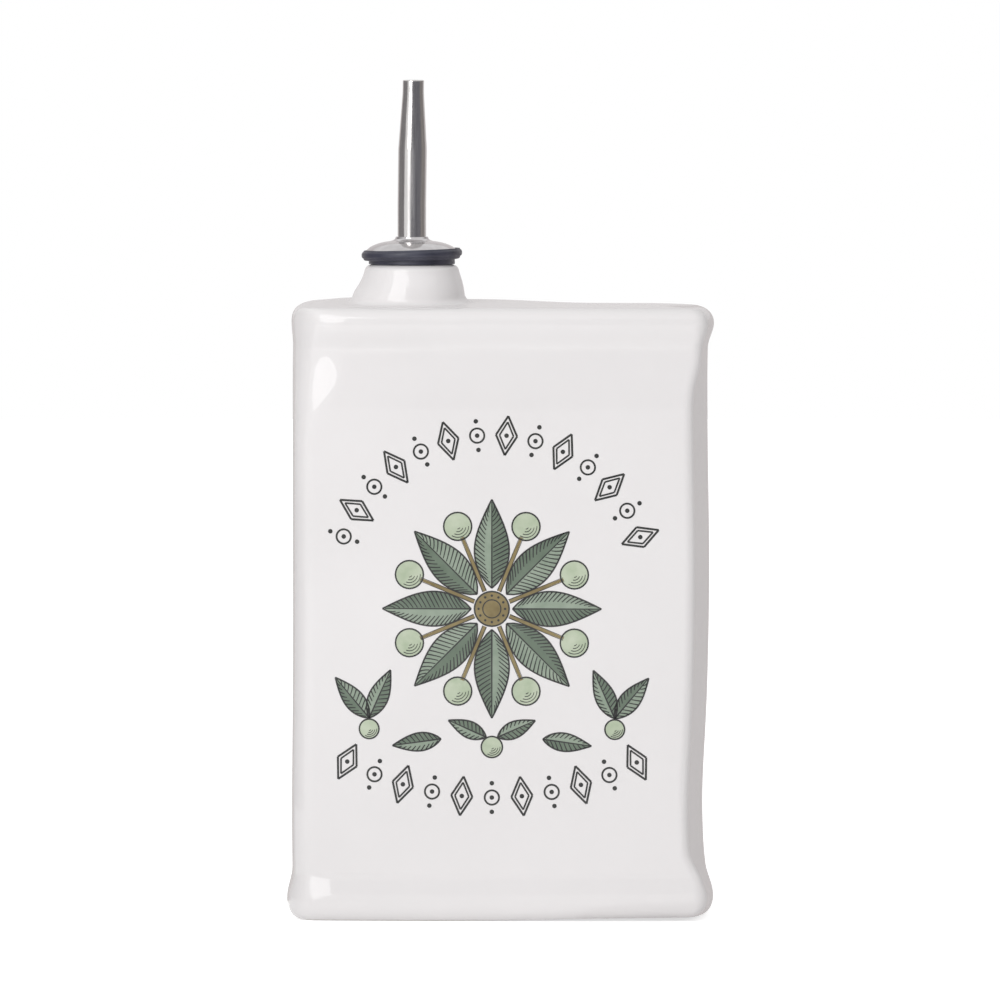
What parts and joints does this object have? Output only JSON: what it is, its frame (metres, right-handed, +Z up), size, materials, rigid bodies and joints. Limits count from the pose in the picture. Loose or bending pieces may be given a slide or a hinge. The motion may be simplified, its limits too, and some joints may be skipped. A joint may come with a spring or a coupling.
{
  "type": "oil decanter",
  "caption": "Glazed ceramic oil decanter shaped like an oil tin, with an off-centre neck closed by a push-in steel pouring spout in a finned rubber stopper.",
  "frame": {"origin": "middle of the underside, on the surface that the bottle stands on", "axes": "+Z up; +X to the right as the decorated front is seen, so the neck is on the -X side; +Y from the front to the back"},
  "size_m": [0.1138, 0.0536, 0.2225],
  "materials": {
    "white_glaze": "gloss",
    "black_rubber": "satin",
    "satin_steel": "satin",
    "polished_steel": "polished"
  },
  "bodies": {
    "bottle": {"bottle": "white_glaze"},
    "stopper": {"stopper": "black_rubber"},
    "spout": {"spout_tube": "satin_steel", "spout_dome": "polished_steel", "breather_tube": "satin_steel"}
  },
  "joints": [
    {"name": "pourer_lift", "type": "slide", "parent": "bottle", "child": "stopper", "axis": [0, 0, 1], "range_m": [0, 0.06]},
    {"name": "spout_turn", "type": "hinge", "parent": "stopper", "child": "spout", "pos_m": [-0.0236, 0, 0.1731], "axis": [0, 0, 1], "continuous": true}
  ]
}
